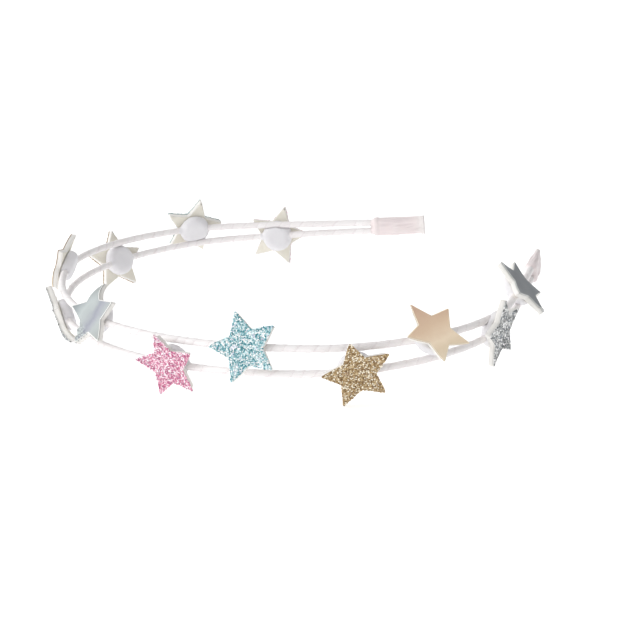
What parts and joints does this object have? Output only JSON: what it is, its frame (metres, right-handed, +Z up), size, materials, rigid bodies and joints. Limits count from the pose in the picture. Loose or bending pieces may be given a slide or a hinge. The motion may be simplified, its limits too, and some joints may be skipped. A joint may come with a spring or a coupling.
{
  "type": "star headband",
  "caption": "Open wire headband of two ribbon-wound strands with felt-backed glitter and metallic stars around it, lying on its star points.",
  "frame": {"origin": "on the surface it lies on, under the middle of its box", "axes": "+Z up, square to the plane of the hoop; -Y towards the crown and +Y towards the open ends; +X towards the right end"},
  "size_m": [0.165, 0.1304, 0.0236],
  "materials": {
    "ribbon": "pearly satin ribbon wound on wire",
    "wrap": "pale pink satin ribbon",
    "felt": "cream felt",
    "disc": "soft white fabric",
    "pink_glitter": "pink and white glitter",
    "aqua_glitter": "aqua and white glitter",
    "gold_glitter": "gold glitter",
    "silver_glitter": "silver glitter",
    "gold_leatherette": "smooth gold metallic",
    "silver_leatherette": "smooth silver metallic"
  },
  "bodies": {
    "root": {"upper_wire": "ribbon", "lower_wire": "ribbon", "end_wrap_left": "wrap", "end_wrap_right": "wrap", "star_face_01": "pink_glitter", "star_face_02": "aqua_glitter", "star_face_03": "gold_glitter", "star_face_04": "gold_leatherette", "star_face_05": "silver_glitter", "star_face_06": "silver_leatherette", "star_face_07": "pink_glitter", "star_face_08": "aqua_glitter", "star_face_09": "gold_glitter", "star_face_10": "gold_leatherette", "star_face_11": "silver_glitter", "star_face_12": "silver_leatherette", "star_felt_01": "felt", "star_felt_02": "felt", "star_felt_03": "felt", "star_felt_04": "felt", "star_felt_05": "felt", "star_felt_06": "felt", "star_felt_07": "felt", "star_felt_08": "felt", "star_felt_09": "felt", "star_felt_10": "felt", "star_felt_11": "felt", "star_felt_12": "felt", "back_disc_01": "disc", "back_disc_02": "disc", "back_disc_03": "disc", "back_disc_04": "disc", "back_disc_05": "disc", "back_disc_06": "disc", "back_disc_07": "disc", "back_disc_08": "disc", "back_disc_09": "disc", "back_disc_10": "disc", "back_disc_11": "disc", "back_disc_12": "disc"}
  },
  "joints": []
}
